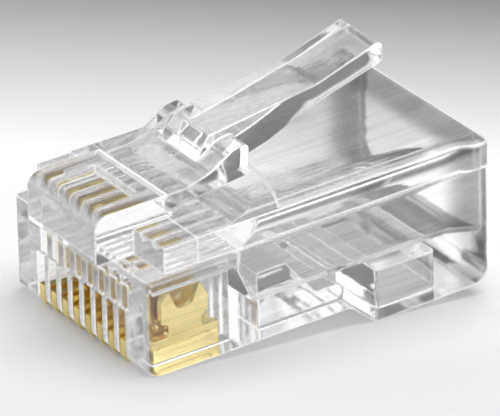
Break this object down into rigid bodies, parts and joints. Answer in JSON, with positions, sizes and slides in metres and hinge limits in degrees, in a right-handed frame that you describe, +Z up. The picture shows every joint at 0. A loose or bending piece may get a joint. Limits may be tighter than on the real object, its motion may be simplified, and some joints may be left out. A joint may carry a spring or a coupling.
{
  "type": "modular plug",
  "caption": "Clear modular plug with a sprung latch, blade contacts in a comb, round wire channels and a hinged jacket clamp at the cable cavity.",
  "frame": {"origin": "middle of the bounding box's base: on the plane of the rear step's underside, midway between the nose face and the cable end", "axes": "+Z up through the latch, +Y from the nose towards the cable end, +X across the plug towards the eighth contact"},
  "size_m": [0.012, 0.0216, 0.0128],
  "materials": {
    "clear_polycarbonate": "clear, polished",
    "gold_plated_contact": "satin gold plate"
  },
  "bodies": {
    "housing": {"housing": "clear_polycarbonate"},
    "latch": {"latch": "clear_polycarbonate"},
    "jacket_clamp": {"jacket_clamp": "clear_polycarbonate"},
    "contact_1": {"contact_1": "gold_plated_contact"},
    "contact_2": {"contact_2": "gold_plated_contact"},
    "contact_3": {"contact_3": "gold_plated_contact"},
    "contact_4": {"contact_4": "gold_plated_contact"},
    "contact_5": {"contact_5": "gold_plated_contact"},
    "contact_6": {"contact_6": "gold_plated_contact"},
    "contact_7": {"contact_7": "gold_plated_contact"},
    "contact_8": {"contact_8": "gold_plated_contact"}
  },
  "joints": [
    {"name": "latch_press", "type": "hinge", "parent": "housing", "child": "latch", "pos_m": [0, -0.00622, 0.00879], "axis": [-1, 0, 0], "range_deg": [0, 9], "stiffness_Nm_per_rad": 0.3},
    {"name": "jacket_clamp_crimp", "type": "hinge", "parent": "housing", "child": "jacket_clamp", "pos_m": [0, 0.00213, 0.00174], "axis": [-1, 0, 0], "range_deg": [0, 18]},
    {"name": "contact_1_crimp", "type": "slide", "parent": "housing", "child": "contact_1", "axis": [0, 0, 1], "range_m": [0, 0.0006]},
    {"name": "contact_2_crimp", "type": "slide", "parent": "housing", "child": "contact_2", "axis": [0, 0, 1], "range_m": [0, 0.0006]},
    {"name": "contact_3_crimp", "type": "slide", "parent": "housing", "child": "contact_3", "axis": [0, 0, 1], "range_m": [0, 0.0006]},
    {"name": "contact_4_crimp", "type": "slide", "parent": "housing", "child": "contact_4", "axis": [0, 0, 1], "range_m": [0, 0.0006]},
    {"name": "contact_5_crimp", "type": "slide", "parent": "housing", "child": "contact_5", "axis": [0, 0, 1], "range_m": [0, 0.0006]},
    {"name": "contact_6_crimp", "type": "slide", "parent": "housing", "child": "contact_6", "axis": [0, 0, 1], "range_m": [0, 0.0006]},
    {"name": "contact_7_crimp", "type": "slide", "parent": "housing", "child": "contact_7", "axis": [0, 0, 1], "range_m": [0, 0.0006]},
    {"name": "contact_8_crimp", "type": "slide", "parent": "housing", "child": "contact_8", "axis": [0, 0, 1], "range_m": [0, 0.0006]}
  ]
}
